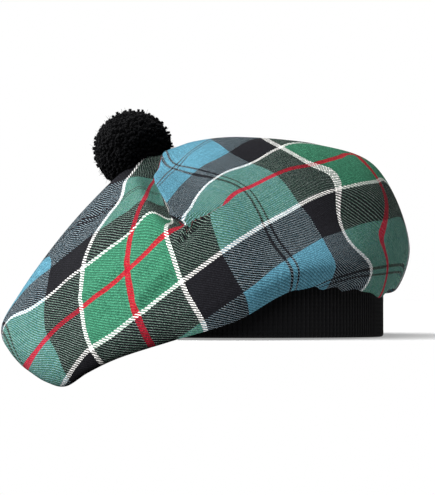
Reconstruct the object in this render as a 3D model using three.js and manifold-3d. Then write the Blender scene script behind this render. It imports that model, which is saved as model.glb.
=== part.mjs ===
// A tam o'shanter: a broad cloth crown gathered into a ribbed knit headband and flopped over to one side,
// with a yarn pompom at the crown's centre.
//
// Frame: millimetres, +Z up. The origin is the centre of the head opening, level with the headband's lower
// edge. The wearer faces -Y, so +X is the wearer's left, and the crown hangs over to -X.

import * as THREE from "three";
import { mergeVertices } from "three/addons/utils/BufferGeometryUtils.js";
import Module from "manifold-3d";

// Clearance between pieces that touch.
const GAP = 0.3;

// Headband: an oval ring of ribbed knit, standing on Z = 0.
const BAND = {
  halfBreadth: 81.5,
  halfDepth: 104,
  height: 34,
  wall: 3.5,
  ribs: 212,
  ribDepth: 1.1,
  innerSides: 106,
};

// Crown: a cloth wall between the pompom's seat and the headband's upper edge.
const CLOTH_WALL = 2;
const SEAT = { x: -57, y: 40, z: 110 };
const COLUMNS_PER_SECTION = 4;
const RINGS_PER_SPAN = 3;

// How far out along its reach each section's four upper heights are taken.
const HEIGHT_PLACES = [0.18, 0.4, 0.65, 0.87];

// Upright sections of the crown through the pompom's seat, going round from the wearer's left by the back.
// turn: the section's direction in plan, in degrees from +X towards +Y.
// reach: from the seat out to the rim. heights: of the cloth at the places above. rim: the height of the
// outermost point. hang: how far below the rim the cloth's lowest point is, before it turns in to the band.
const SECTIONS = [
  { turn: 0, reach: 153, heights: [118, 119, 115, 103], rim: 52, hang: 26 },
  { turn: 30, reach: 132, heights: [116, 116, 105, 80], rim: 46, hang: 19 },
  { turn: 60, reach: 107, heights: [111, 107, 90, 63], rim: 38, hang: 18 },
  { turn: 90, reach: 90, heights: [105, 95, 75, 50], rim: 28, hang: 16 },
  { turn: 120, reach: 88, heights: [102, 89, 65, 37], rim: 15, hang: 15 },
  { turn: 150, reach: 88, heights: [102, 86, 59, 30], rim: 6, hang: 12 },
  { turn: 180, reach: 89, heights: [101, 83, 57, 28], rim: 5, hang: 9 },
  { turn: 205, reach: 95, heights: [101, 81, 53, 25], rim: 2, hang: 9 },
  { turn: 227, reach: 104, heights: [99, 79, 49, 18], rim: -9, hang: 10 },
  { turn: 247, reach: 118, heights: [98, 81, 52, 17], rim: -15, hang: 12 },
  { turn: 263, reach: 131, heights: [98, 83, 61, 31], rim: -2, hang: 10 },
  { turn: 276, reach: 149, heights: [98, 87, 70, 48], rim: 9, hang: 11 },
  { turn: 288, reach: 167, heights: [99, 93, 76, 52], rim: 21, hang: 12 },
  { turn: 300, reach: 172, heights: [107, 107, 86, 54], rim: 37, hang: 11 },
  { turn: 318, reach: 174, heights: [116, 117, 106, 76], rim: 41, hang: 15 },
  { turn: 340, reach: 162, heights: [118, 119, 114, 98], rim: 51, hang: 23 },
];

// The rim's roll: how far the lowest point lies inside the rim, as a share of the hang, and how far it stays
// out from the headband. The sag is how far the under side dips, as a share of its width.
const ROLL_SHARE = 0.36;
const ROLL_CLEAR = 5;
const SAG_SHARE = 0.12;

// Where the under side lands: it starts over the band this far outside it and ends this far inside.
const LANDING = { outside: 2, inside: 3, rise: 0.8 };

// The crease: a valley that runs from beside the pompom down the front, curving towards +X.
// The lip on its +X side leans over it, and a soft ridge lies on its other side at the front.
const CREASE = {
  x: -46,
  y: 30,
  curve: 0.0018,
  depth: 13,
  width: 8,
  lipLean: 4.5,
  lipOffset: 9,
  ridgeHeight: 4,
  ridgeOffset: -13,
  sideWidth: 9,
  frontFade: [-78, -40],
  backFade: [60, 85],
  ridgeFade: [-5, 25],
  rimFade: [3.6, 4.8],
};

// Gathers at the headband: one for each section, in the cloth that turns in under the rim.
const GATHER = { height: 1.6, spans: 2, fadeSpans: 1 };

// Pompom: locks on a round core, leaning off the crown's centre towards -X and back.
const POMPOM = {
  radius: 23.5,
  coreRadius: 19,
  coreDetail: 1,
  seatDepth: 16,
  lean: [-0.7, 0.6, 0.32],
  locks: 60,
  lockSides: 5,
  lockRoot: 2.6,
  lockTip: 4.6,
  lockStart: 12,
  unevenness: 0.9,
  unevenTurn: 7,
};

// Corners of a solid that are this close together are one.
const MERGE_DISTANCE = 1e-4;

const wasm = await Module();
wasm.setup();

// A smooth curve's value a share of the way from b to c, with a and d as the neighbours.
function smoothBetween(a, b, c, d, share) {
  const bend = 2 * a - 5 * b + 4 * c - d;
  const twist = 3 * b - a - 3 * c + d;
  return 0.5 * (2 * b + (c - a) * share + bend * share ** 2 + twist * share ** 3);
}

// The section at any place round the crown, counted in sections, with every column smoothly blended.
function sectionAt(place) {
  const first = Math.floor(place);
  const share = place - first;
  const rows = [-1, 0, 1, 2].map((step) => {
    const index = first + step;
    const wrapped = THREE.MathUtils.euclideanModulo(index, SECTIONS.length);
    const turns = Math.floor(index / SECTIONS.length);
    return { ...SECTIONS[wrapped], turn: SECTIONS[wrapped].turn + 360 * turns };
  });
  const blend = (pick) => smoothBetween(...rows.map(pick), share);
  return {
    turn: THREE.MathUtils.degToRad(blend((row) => row.turn)),
    reach: blend((row) => row.reach),
    heights: HEIGHT_PLACES.map((_, i) => blend((row) => row.heights[i])),
    rim: blend((row) => row.rim),
    hang: blend((row) => row.hang),
  };
}

// How far from the seat, in a direction in plan, the headband's outer oval is.
function bandReach(turn) {
  const cx = Math.cos(turn) / BAND.halfBreadth;
  const cy = Math.sin(turn) / BAND.halfDepth;
  const sx = SEAT.x / BAND.halfBreadth;
  const sy = SEAT.y / BAND.halfDepth;
  const a = cx * cx + cy * cy;
  const b = 2 * (sx * cx + sy * cy);
  const c = sx * sx + sy * sy - 1;
  return (-b + Math.sqrt(b * b - 4 * a * c)) / (2 * a);
}

// The section's profile: points of distance from the seat and height, from the seat over the rim and back in.
function profilePoints(section) {
  const band = bandReach(section.turn);
  const low = new THREE.Vector2(
    Math.max(section.reach - ROLL_SHARE * section.hang, band + ROLL_CLEAR),
    section.rim - section.hang,
  );
  const landing = new THREE.Vector2(band + LANDING.outside, BAND.height + LANDING.rise);
  const under = low.clone().lerp(landing, 0.5);
  under.y -= SAG_SHARE * (low.x - landing.x);
  return [
    new THREE.Vector2(0, SEAT.z),
    ...HEIGHT_PLACES.map((share, i) => new THREE.Vector2(share * section.reach, section.heights[i])),
    new THREE.Vector2(section.reach, section.rim),
    low,
    under,
    landing,
    new THREE.Vector2(band - LANDING.inside, BAND.height + GAP),
  ];
}

// Points in even steps along a smooth curve through a profile, which is level at the seat.
function profileCurve(points) {
  const mirrored = new THREE.Vector3(-points[1].x, points[1].y, 0);
  const all = [mirrored, ...points.map((p) => new THREE.Vector3(p.x, p.y, 0))];
  const curve = new THREE.CatmullRomCurve3(all, false, "centripetal");
  const steps = (points.length - 1) * RINGS_PER_SPAN;
  return Array.from({ length: steps + 1 }, (_, i) => {
    return curve.getPoint((i / RINGS_PER_SPAN + 1) / (all.length - 1));
  });
}

// A rounded dent or bump: 1 at its middle and close to 0 beyond two widths.
function bump(offset, width) {
  return Math.exp(-((offset / width) ** 2));
}

// The crease's shift of a point on the upper cloth. The weight fades it out towards the rim.
function creased(point, weight) {
  const { smoothstep } = THREE.MathUtils;
  const line = CREASE.x + CREASE.curve * (point.y - CREASE.y) ** 2;
  const offset = point.x - line;
  const front = smoothstep(point.y, ...CREASE.frontFade);
  const back = 1 - smoothstep(point.y, ...CREASE.backFade);
  const strength = weight * front * back;
  const ridge = strength * (1 - smoothstep(point.y, ...CREASE.ridgeFade));
  point.z -= CREASE.depth * bump(offset, CREASE.width) * strength;
  point.z += CREASE.ridgeHeight * bump(offset - CREASE.ridgeOffset, CREASE.sideWidth) * ridge;
  point.x -= CREASE.lipLean * bump(offset - CREASE.lipOffset, CREASE.sideWidth) * strength;
  return point;
}

// The crown's outer face as rings of points, the first at the pompom's seat and the last on the headband.
function crownRings() {
  const { smoothstep } = THREE.MathUtils;
  const columns = SECTIONS.length * COLUMNS_PER_SECTION;
  const rimSpan = HEIGHT_PLACES.length + 1;
  const fullSpan = rimSpan + GATHER.spans;
  const profiles = Array.from({ length: columns }, (_, column) => {
    const place = column / COLUMNS_PER_SECTION;
    const section = sectionAt(place);
    return profileCurve(profilePoints(section)).map((p, ring) => {
      const span = ring / RINGS_PER_SPAN;
      const point = new THREE.Vector3(
        SEAT.x + p.x * Math.cos(section.turn),
        SEAT.y + p.x * Math.sin(section.turn),
        p.y,
      );
      const gathersIn = smoothstep(span, rimSpan, fullSpan);
      const fadesOut = 1 - smoothstep(span, fullSpan, fullSpan + GATHER.fadeSpans);
      point.z += GATHER.height * gathersIn * fadesOut * Math.cos(2 * Math.PI * place);
      return creased(point, 1 - smoothstep(span, ...CREASE.rimFade));
    });
  });
  return profiles[0].map((_, ring) => profiles.map((profile) => profile[ring]));
}

// The outward direction at each point of a set of rings that closes at its first ring.
function ringNormals(rings) {
  return rings.map((ring, i) =>
    ring.map((_, j) => {
      if (i === 0) return new THREE.Vector3(0, 0, 1);
      const next = ring[(j + 1) % ring.length];
      const last = ring[(j + ring.length - 1) % ring.length];
      const around = next.clone().sub(last);
      const along = rings[Math.min(i + 1, rings.length - 1)][j].clone().sub(rings[i - 1][j]);
      return along.cross(around).normalize();
    }),
  );
}

// Rings moved along their outward directions, in or out.
function offsetRings(rings, normals, distance) {
  return rings.map((ring, i) => ring.map((p, j) => p.clone().addScaledVector(normals[i][j], distance)));
}

// A geometry from points and triangles.
function geometryOf(points, triangles) {
  const geometry = new THREE.BufferGeometry().setFromPoints(points);
  geometry.setIndex(triangles.flat());
  geometry.computeVertexNormals();
  return geometry;
}

// The triangles of a surface of rings that starts at one point, with its vertices counted from a start.
function ringTriangles(rings, start) {
  const columns = rings[0].length;
  const at = (ring, column) => (ring === 0 ? start : start + 1 + (ring - 1) * columns + (column % columns));
  const triangles = [];
  for (let column = 0; column < columns; column += 1) {
    triangles.push([start, at(1, column), at(1, column + 1)]);
    for (let ring = 1; ring < rings.length - 1; ring += 1) {
      const corner = at(ring + 1, column + 1);
      triangles.push([at(ring, column), at(ring + 1, column), corner]);
      triangles.push([at(ring, column), corner, at(ring, column + 1)]);
    }
  }
  return triangles;
}

// The points of such a surface, in the order that ringTriangles counts them.
function ringPoints(rings) {
  return [rings[0][0], ...rings.slice(1).flat()];
}

// A cloth wall: an outer face, an inner face, and the raw edge that joins them at the last ring.
function wallGeometry(outer, inner) {
  const columns = outer[0].length;
  const outerPoints = ringPoints(outer);
  const innerStart = outerPoints.length;
  const outerEdge = innerStart - columns;
  const innerEdge = 2 * innerStart - columns;
  const triangles = ringTriangles(outer, 0);
  for (const [a, b, c] of ringTriangles(inner, innerStart)) triangles.push([a, c, b]);
  for (let column = 0; column < columns; column += 1) {
    const next = (column + 1) % columns;
    triangles.push([outerEdge + column, innerEdge + column, innerEdge + next]);
    triangles.push([outerEdge + column, innerEdge + next, outerEdge + next]);
  }
  return geometryOf([...outerPoints, ...ringPoints(inner)], triangles);
}

// The space that rings enclose as one solid, closed at the last ring by a fan.
function filledGeometry(rings) {
  const points = ringPoints(rings);
  const columns = rings[0].length;
  const edge = points.length - columns;
  const triangles = ringTriangles(rings, 0);
  const centre = new THREE.Vector3();
  rings.at(-1).forEach((p) => centre.addScaledVector(p, 1 / columns));
  for (let column = 0; column < columns; column += 1) {
    triangles.push([points.length, edge + ((column + 1) % columns), edge + column]);
  }
  return geometryOf([...points, centre], triangles);
}

// Evenly spaced points round the headband's oval, inset from its outer size.
function ovalPoints(sides, inset) {
  const oval = new THREE.EllipseCurve(0, 0, BAND.halfBreadth - inset, BAND.halfDepth - inset);
  return oval.getSpacedPoints(sides).slice(0, sides);
}

// The headband: its oval outline rises and falls from rib to rib, and it is extruded upwards.
function headbandGeometry() {
  const crests = ovalPoints(2 * BAND.ribs, 0);
  const grooves = ovalPoints(2 * BAND.ribs, BAND.ribDepth);
  const shape = new THREE.Shape(crests.map((crest, i) => (i % 2 ? grooves[i] : crest)));
  shape.holes.push(new THREE.Path(ovalPoints(BAND.innerSides, BAND.wall)));
  return new THREE.ExtrudeGeometry(shape, { depth: BAND.height, bevelEnabled: false });
}

// A closed geometry as a solid that can be joined and cut.
function solidOf(geometry) {
  const bare = geometry.clone();
  bare.deleteAttribute("normal");
  bare.deleteAttribute("uv");
  const merged = mergeVertices(bare, MERGE_DISTANCE);
  return new wasm.Manifold(
    new wasm.Mesh({
      numProp: 3,
      vertProperties: new Float32Array(merged.attributes.position.array),
      triVerts: new Uint32Array(merged.index.array),
    }),
  );
}

// A solid as a geometry.
function geometryFromSolid(solid) {
  const mesh = solid.getMesh();
  const geometry = new THREE.BufferGeometry();
  geometry.setAttribute("position", new THREE.BufferAttribute(new Float32Array(mesh.vertProperties), 3));
  geometry.setIndex(new THREE.BufferAttribute(new Uint32Array(mesh.triVerts), 1));
  geometry.computeVertexNormals();
  return geometry;
}

// A direction to one of a number of places spread evenly over a ball.
function spreadDirection(index, count) {
  const goldenTurn = Math.PI * (3 - Math.sqrt(5));
  const height = 1 - (2 * index + 1) / count;
  const radius = Math.sqrt(1 - height * height);
  return new THREE.Vector3(radius * Math.cos(goldenTurn * index), radius * Math.sin(goldenTurn * index), height);
}

// One lock of the pompom: a tapered bundle of yarn that is widest at its cut end.
function lockGeometry(index, centre) {
  const up = new THREE.Vector3(0, 1, 0);
  const direction = spreadDirection(index, POMPOM.locks);
  const tip = POMPOM.radius + POMPOM.unevenness * (Math.sin(POMPOM.unevenTurn * index) - 1);
  const length = tip - POMPOM.lockStart;
  const lock = new THREE.CylinderGeometry(POMPOM.lockTip, POMPOM.lockRoot, length, POMPOM.lockSides);
  lock.translate(0, POMPOM.lockStart + length / 2, 0);
  lock.applyQuaternion(new THREE.Quaternion().setFromUnitVectors(up, direction));
  return lock.translate(centre.x, centre.y, centre.z);
}

// The pompom: its locks joined to its core, and pressed flat where it sits on the crown.
function pompomGeometry(rings, normals) {
  const lean = new THREE.Vector3(...POMPOM.lean).setLength(POMPOM.seatDepth);
  const centre = new THREE.Vector3(SEAT.x, SEAT.y, SEAT.z).add(lean);
  const core = new THREE.IcosahedronGeometry(POMPOM.coreRadius, POMPOM.coreDetail);
  let ball = solidOf(core.translate(centre.x, centre.y, centre.z));
  for (let index = 0; index < POMPOM.locks; index += 1) {
    ball = ball.add(solidOf(lockGeometry(index, centre)));
  }
  const crownSpace = solidOf(filledGeometry(offsetRings(rings, normals, GAP)));
  return geometryFromSolid(ball.subtract(crownSpace));
}

// A named piece with its material.
function piece(name, geometry, colour, roughness) {
  const material = new THREE.MeshStandardMaterial({ color: colour, roughness, metalness: 0 });
  const mesh = new THREE.Mesh(geometry, material);
  mesh.name = name;
  return mesh;
}

const rings = crownRings();
const normals = ringNormals(rings);

const tam = new THREE.Group();
tam.add(piece("crown", wallGeometry(rings, offsetRings(rings, normals, -CLOTH_WALL)), "#3d6a62", 0.95));
tam.add(piece("headband", headbandGeometry(), "#17171b", 0.95));
tam.add(piece("pompom", pompomGeometry(rings, normals), "#0b0b0e", 1));

export default tam;
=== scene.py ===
"""A tartan tam o'shanter: a gathered cloth crown, a ribbed knit headband and a yarn pompom.

Every shape is worked out in millimetres in the part's own frame and put into its mesh in metres.
"""

import math
from types import SimpleNamespace

import bpy
import numpy as np
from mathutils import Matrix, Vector


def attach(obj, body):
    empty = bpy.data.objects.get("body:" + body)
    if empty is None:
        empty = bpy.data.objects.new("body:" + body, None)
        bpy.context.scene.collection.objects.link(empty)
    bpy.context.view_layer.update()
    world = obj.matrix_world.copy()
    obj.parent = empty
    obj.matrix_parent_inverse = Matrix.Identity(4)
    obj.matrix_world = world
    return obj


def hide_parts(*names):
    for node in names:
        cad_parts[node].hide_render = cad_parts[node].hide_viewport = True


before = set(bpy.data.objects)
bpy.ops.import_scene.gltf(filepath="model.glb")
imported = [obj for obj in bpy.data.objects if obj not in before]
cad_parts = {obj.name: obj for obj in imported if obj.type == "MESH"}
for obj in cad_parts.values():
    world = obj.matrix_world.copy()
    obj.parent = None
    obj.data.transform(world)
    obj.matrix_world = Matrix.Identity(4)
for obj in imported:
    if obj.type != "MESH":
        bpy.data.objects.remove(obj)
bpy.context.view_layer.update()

MM = 0.001
rng = np.random.default_rng(1746)

# The image, and the camera that the photograph was taken with: level with the band and a long way off.
IMAGE_WIDTH = 435
IMAGE_HEIGHT = 495
SENSOR_MM = 36
FOCAL_PIXELS = 2028
CAMERA_PLACE = np.array([-16.3, -1200.0, 10.0])
CAMERA_TILT = math.radians(2.036)

# Headband: an oval ring of ribbed knit, standing on Z = 0, its outside swaying in and out a little.
BAND_HALF = np.array([81.5, 104.0])
BAND_HEIGHT = 34.0
BAND_WALL = 3.5
BAND_RIBS = 212
BAND_RIB_DEPTH = 1.1
BAND_RIB_ROUND = 0.98
BAND_SWAY = 0.175
BAND_SWAYS = 7
STITCH_HEIGHT = 2.4
COLUMNS_PER_RIB = 8
BAND_EDGE_STEPS = 9
BAND_SIDE_STEPS = 7
OVAL_STEPS = 4096

# Crown: a cloth wall between the pompom's seat and the headband's upper edge. Flat, the cloth is a circle, in
# metres across: its radius lies between the lengths of the shortest and the longest section.
CLOTH_WALL = 2.0
SEAT = np.array([-57.0, 40.0, 110.0])
CROWN_COLUMNS = 312
CROWN_RINGS = 150
UPPER_RINGS = 0.8

# How far out along its reach each section's four upper heights are taken.
HEIGHT_PLACES = (0.18, 0.4, 0.65, 0.87)

# A place along a section is counted in spans between its points, from the seat: the rim, the ends of the
# upper cloth and of what the camera sees of it, and the part that says how far columns are turned apart.
RIM_SPAN = len(HEIGHT_PLACES) + 1
UPPER_END = RIM_SPAN + 0.6
SEEN_END = RIM_SPAN + 0.4
FLAT_SPANS = (1, 3.5)

# Upright sections of the crown through the seat, going round from the wearer's left by the back.
# turn, in degrees from +X towards +Y; reach, from the seat out to the rim; four heights at the places above;
# rim, the outermost point's height; hang, how far below the rim the cloth goes before it turns in.
SECTIONS = np.array([
    (0, 153, 118, 119, 115, 102, 52, 26),
    (30, 132, 116, 116, 105, 80, 46, 19),
    (60, 107, 111, 107, 90, 63, 38, 18),
    (90, 90, 105, 95, 75, 50, 28, 16),
    (120, 88, 102, 89, 65, 37, 15, 15),
    (150, 88, 102, 86, 59, 30, 6, 12),
    (180, 89, 101, 83, 57, 28, 5, 9),
    (205, 95, 101, 81, 53, 26, 3.5, 11),
    (227, 104, 99, 79, 49, 18.5, -9, 10),
    (238, 111, 98.5, 80, 50.5, 17.5, -13.3, 12),
    (247, 118, 98, 81, 52, 17, -15, 12.3),
    (255, 124.5, 98, 82, 56, 23.5, -8.5, 11),
    (263, 131, 98, 83, 61, 31, -2, 10),
    (276, 149, 98, 87, 70, 48, 9, 11),
    (288, 167, 99, 93, 76, 52, 21, 12),
    (300, 172, 107, 107, 86, 54, 37, 11),
    (318, 174, 116, 117, 106, 76, 41, 15),
    (340, 162, 118, 119, 114, 97, 51, 23),
], float)

# The rim's roll and the under side, as the part's source has them.
ROLL_SHARE = 0.36
ROLL_CLEAR = 3
SAG_SHARE = 0.12
LANDING_OUTSIDE = 2
LANDING_INSIDE = 3
LANDING_RISE = 0.8
LANDING_GAP = 0.3

# The crease from beside the pompom down the front: a step along a curved line, up to the dome on its +X side.
# The dome's lip leans over it, and a soft ridge lies on its other side at the front. A fade is a range of y
# over which a part of it comes or goes, and lean_front is such a range of distances above the tuck.
CREASE = SimpleNamespace(
    x=-49.5,
    y=30,
    curve=0.0016,
    step_half=1.8,
    drop=8,
    drop_width=12,
    lift=2,
    lift_width=18,
    lean=12,
    lean_offset=3.5,
    lean_width=4,
    foot_lean=3.5,
    ridge_height=4.5,
    ridge_offset=-16,
    ridge_width=7,
    front_fade=(-84, -60),
    back_fade=(60, 85),
    seat_fade=(15, 42),
    lift_fade=(-30, 40),
    lean_front=(-1.5, 4),
    foot_fade=(-82, -64),
    lean_fade=(-36, 52),
    ridge_fade=(-5, 25),
)
# The spans along the sections over which the crease and the tuck fade out.
CREASE_SPANS = (3.6, 4.8)

# The tuck at the crease's foot: a short fold along a slanting line, the dome's cloth above it.
TUCK = SimpleNamespace(
    x=-31.5,
    y=-83.7,
    slope=0.73,
    step_half=1.5,
    lift=2.5,
    drop=2.5,
    width=7,
)
# How strong the tuck is from its start to its end: places along x, then shares.
TUCK_STRENGTH = ((-40, -34, -27, -20, -9), (0, 1, 0.6, 0.3, 0))

# Where the pattern changes from the flop's cloth to the dome's: at the crease and above the tuck. At the
# crease's foot the dome's cloth reaches further over, up to a range of distances above the tuck.
FOLD_EDGE = 1.8
FOOT_REACH = 6.5
FOOT_RANGE = (5, 12)
TUCK_END = -10.0
# The change is sharp along the folds and spreads out beyond the tuck's end and behind the crease's. Each
# spread: its width, and the range of x or of y over which it grows to that.
FOLD_SHARP = 0.2
SPREAD_ASIDE = (40.0, -14.0, 30.0)
SPREAD_BEHIND = (60.0, 45.0, 110.0)

# Gathers where the cloth is drawn in to the headband, and the spans over which they grow. They are uneven:
# each drift is a wave round the crown, by how much in radians, and how often.
GATHERS = 58
GATHER_HEIGHT = 1.3
GATHER_SPANS = (RIM_SPAN + 1.2, RIM_SPAN + 3)
GATHER_DRIFTS = ((1.2, 5), (0.8, 11))
# At the front the cloth bulges over an edge that is drawn in and puckered, and a lump of it hangs beside it.
# Each: its middle and width in degrees, as the sections' turn, and how far it goes.
BULGE = (310, 7, 5)
DRAWN_IN = (310, 7, 10)
LUMP = (322.5, 3.2, 4.2)
PUCKERS = (309, 8, 1.8)
# The puckers' wave in degrees, the share of it that goes up, and the spans where they come and go.
PUCKER_TURN = 5.4
PUCKER_RISE = 0.6
PUCKER_START = (RIM_SPAN + 0.1, RIM_SPAN + 0.8)
PUCKER_END = (RIM_SPAN + 1.2, RIM_SPAN + 2)

# Soft folds in the hanging cloth, which run out from the tuck. Each: start and end in plan, height and width.
SOFT_FOLDS = (
    ((-96, -53), (-66, -68), 1.3, 3.0),
    ((-62, -91), (-42, -97), 1.6, 2.0),
    ((-60, -96), (-40, -102), -1.4, 2.0),
)
# Shares of a fold's length over which it comes and goes.
SOFT_FOLD_START = (-0.15, 0.25)
SOFT_FOLD_END = (0.75, 1.15)

# One repeat of the tartan in threads, starting at a white line, the same both ways.
SETT = (
    ("white", 5), ("green", 57), ("red", 7), ("green", 57), ("white", 5), ("black", 60), ("blue", 62),
    ("black", 4), ("blue", 6), ("black", 4), ("blue", 62), ("black", 60),
)
WOOL_COLOURS = {
    "white": "#fffefa",
    "green": "#358262",
    "red": "#b5182e",
    "black": "#1b1b20",
    "blue": "#5290a6",
}
SETT_THREADS = sum(threads for _, threads in SETT)
WHITE_THREADS = SETT[0][1]
DYE_SEEDS = (0.37, 532.07)

# How the threads look. Light is linear, and a float's height goes from 0 at its edges to 1 at its crest.
WEAVE = SimpleNamespace(
    wander_scale=0.22,
    wander=0.9,
    dye=(0.82, 1.12),
    arch_power=0.6,
    line_red=0.3,
    red_green=0.3,
    red_cover=0.85,
    line_rim=(0.4, 0.1),
    white=0.5,
    black=0.03,
    # A darker crossing thread's colour over a lighter float's edges: partly that thread showing there, partly
    # painted shade.
    darker=0.85,
    dark_cover_shade=(0.65, 1.0),
    dark_edge=(1.0, 0.55),
    # Painted highlight on the floats' crests: how much it pales the colour where colours cross, how much at
    # random, how much lighter than the colour's own grey it goes, and where on the crest it starts.
    pale_difference=(0.08, 0.25),
    pale_share=(0.25, 1.0),
    highlight_least=0.4,
    highlight_most=(1.3, 1.0),
    highlight_gain=(0.95, 1.8),
    crest_start=0.55,
    # Painted shade and light multiplied into the colour: along the twill's ribs and in the floats' hollows;
    # the specks are an uneven tone at random.
    rib_shade=(0.6, 1.4),
    hollow_shade=(0.2, 1.35),
    speck_shade=(0.6, 1.4),
)
# A mix node's two inputs and its output, for each kind of value.
MIX_SOCKETS = {"FLOAT": (2, 3, 0), "VECTOR": (4, 5, 1), "RGBA": (6, 7, 2)}

# Lines of the tartan in the image. Each row: a stripe of the sett, counted on past both ends, how far across
# the stripe the line is, and pixels across and down along it.
WARP_LINES = (
    (-4, 0.5, ((8, 338), (18, 361))),
    (-1, 0, ((50, 266), (47, 285), (43.5, 308), (45, 332), (58, 356))),
    (0, 0.5, (
        (145, 157.5), (138, 164.5), (133, 172), (129, 176.5), (125, 181), (123.5, 190), (121, 200),
        (110.5, 211.5), (103, 222.5), (95, 233.5), (90, 245), (84, 260), (81.5, 280), (81, 308.5),
        (84, 330), (90, 348), (97, 358),
    )),
    (1, 0.8, ((152, 171),)),
    (2, 0.5, (
        (150, 186), (147, 191.5), (143, 200), (137, 213), (131, 233), (127.5, 255), (127, 270),
        (130, 290), (135.5, 314), (143, 331), (147, 339),
    )),
    (3, 0.55, ((162, 203), (164, 211))),
    (4, 0.5, ((165, 228), (167, 240), (171, 251), (176, 267), (181, 282), (190, 301), (203, 323))),
    (6, 0, ((211, 222.8), (215, 234), (219.4, 248.3), (223.3, 256), (228.9, 267.2), (236.7, 281.7))),
    (6, 0.2, ((188, 213),)),
    (6, 0.5, ((174, 195),)),
    (8, 0.5, (
        (178, 168), (194, 171.5), (208, 174.5), (222, 178), (235, 182), (246, 189.5), (254.5, 200.5),
        (264, 217.5), (267.3, 227.5), (276, 243), (286, 256),
    )),
    (11, 0, ((231.5, 154.5), (250, 164), (268, 170), (283, 182), (297, 203), (310, 217), (322, 236))),
    (12, 0.5, (
        (270, 142), (281, 147.5), (295, 156), (310, 165.5), (330, 171.5), (338, 187), (338, 205), (340, 225),
        (347, 240), (355, 249), (363, 256), (369, 262.5), (372, 269), (371, 276),
    )),
    (12, 0, ((327, 173), (335, 187.7), (335, 205))),
    (12, 1, ((333, 170), (341, 186.3), (341, 205))),
    (13, 0.9, ((352, 155),)),
    (14, 0.5, (
        (362, 160.5), (370, 169), (379, 181), (386, 198), (386.5, 212), (384, 227), (380.5, 241),
    )),
    (15, 0.75, ((403, 230), (404, 250), (403, 275), (396, 288))),
)
WEFT_LINES = (
    (-6, 0, ((128, 178), (140, 177), (148, 178))),
    (-4, 0.5, (
        (77, 223), (88, 219.5), (100, 216), (160, 184), (165, 178), (173, 170), (178, 164), (184, 158),
        (191, 152), (198, 147), (205, 143),
    )),
    (-1, 0, (
        (52, 267), (62, 258), (77.5, 246), (91, 235), (100, 229.5), (120, 215), (143, 200), (169, 201),
        (173, 194.5), (179.5, 185.5), (187, 178), (195, 171), (205, 164.5), (216, 160), (229, 152),
        (238, 146),
    )),
    (0, 0.5, (
        (3, 329), (25, 312), (41.5, 301), (60, 286), (83, 267.5), (105, 251.5), (120, 240), (131, 231.5),
        (140, 221), (146, 214.5), (154, 212.3), (160, 214.5), (165, 219), (185.5, 217), (189.5, 209),
        (194, 200), (199.5, 192), (207, 184.5), (216, 178), (225, 172), (234, 168.5), (245, 166),
        (252, 163), (261, 158.5), (270, 152), (281, 147.5), (287, 144),
    )),
    (2, 0.5, (
        (28, 363), (33, 356), (42, 343.5), (52, 332), (66, 319), (81, 308.5), (100, 293), (127, 270),
        (146, 253), (160, 237.5), (166, 233.5), (173, 229), (179, 226.3), (185, 223.6), (226.7, 201.7),
        (232.2, 195), (237.8, 190.6), (247.8, 187.8), (265, 178.5), (288, 169), (310, 165.5),
        (330, 159.5), (341, 156.5), (349, 153.5),
    )),
    (3, 0.1, ((203, 218), (212, 213.5))),
    (3, 0.06, ((222, 208),)),
    (4, 0.5, (
        (70, 373), (79, 360), (90, 348), (110, 336), (138, 314.5), (160, 297.5), (181, 281.5),
        (190, 275.6), (206.7, 262.8), (223.3, 250.6), (240, 239.4), (265.6, 223.3), (288.9, 211.1),
        (311, 198.5), (339, 188), (363, 183), (378, 181.5), (385, 180.8),
    )),
    (6, 0, (
        (203, 321), (255.6, 283.9), (272.2, 269.4), (288.9, 258.3), (305, 248), (323, 237.5), (343, 231.5),
        (366, 223), (387, 220), (402, 219),
    )),
    (8, 0.5, ((382, 270), (402, 269))),
)

# How much the cloth keeps to an even bend instead of each point of the lines.
STIFFNESS = 0.004
# Places on the unseen back that hold the pattern even there: sections, and spans along them.
BACK_SECTIONS = (1, 2, 3, 4, 5, 6)
BACK_SPANS = (4.0, 5.5)

# Pompom: cut yarn ends round a tied middle, leaning off the crown's centre to the flop's side and back.
POMPOM_RADIUS = 23.8
POMPOM_SEAT_DEPTH = 16.0
POMPOM_LEAN = np.array([-0.67, 0.6, 0.29])
YARN_ENDS = 4000
YARN_RADIUS = 0.78
YARN_START = 9.0
YARN_UNEVENNESS = 1.6
YARN_SHAKE = 0.02
YARN_BEND = 0.7
YARN_SIDES = 5
YARN_STEPS = 3
# Shares of the yarn's radius: at its start and what it gains to its end, and from one yarn to the next.
YARN_FLARE = (0.75, 0.3)
YARN_THICKNESS = (0.85, 1.15)
FIBRES = 4200
FIBRE_RADIUS = 0.13
FIBRE_TAPER = 0.6
FIBRE_SIDES = 3
FIBRE_STEPS = 3
# Fibres start a little below the yarn's cut end, and lean off by a share of their length.
FIBRE_DEPTH = 1.5
FIBRE_SCATTER = 0.9
FIBRE_SHORTEST = 1.0
FIBRE_REACH = 1.1
FIBRE_LEAN = 0.45

# Studio: a pale sheet under the band, which rises a little to the back and ends short of the hanging crown.
TABLE_TOP = 0.1
TABLE_SLOPE = 0.012
TABLE_ACROSS = (-38.0, 6000.0)
TABLE_ALONG = (-140.0, 6000.0)
SURROUND_LIGHT = 0.06
# Each light: the way it comes from, how wide it is in degrees, and its strength.
STUDIO_LIGHTS = (
    ("key", (-0.85, 0.05, 0.5), 70, 4.9),
    ("front", (-0.34, -0.62, 0.7), 60, 3.1),
)


def ease(value, low, high):
    """0 below low, 1 above high, and an even S between."""
    share = np.clip((value - low) / (high - low), 0, 1)
    return share * share * (3 - 2 * share)


def unit(vectors):
    """Vectors drawn to a length of one, where they have a length."""
    return vectors / np.maximum(np.linalg.norm(vectors, axis=-1, keepdims=True), 1e-9)


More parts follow.
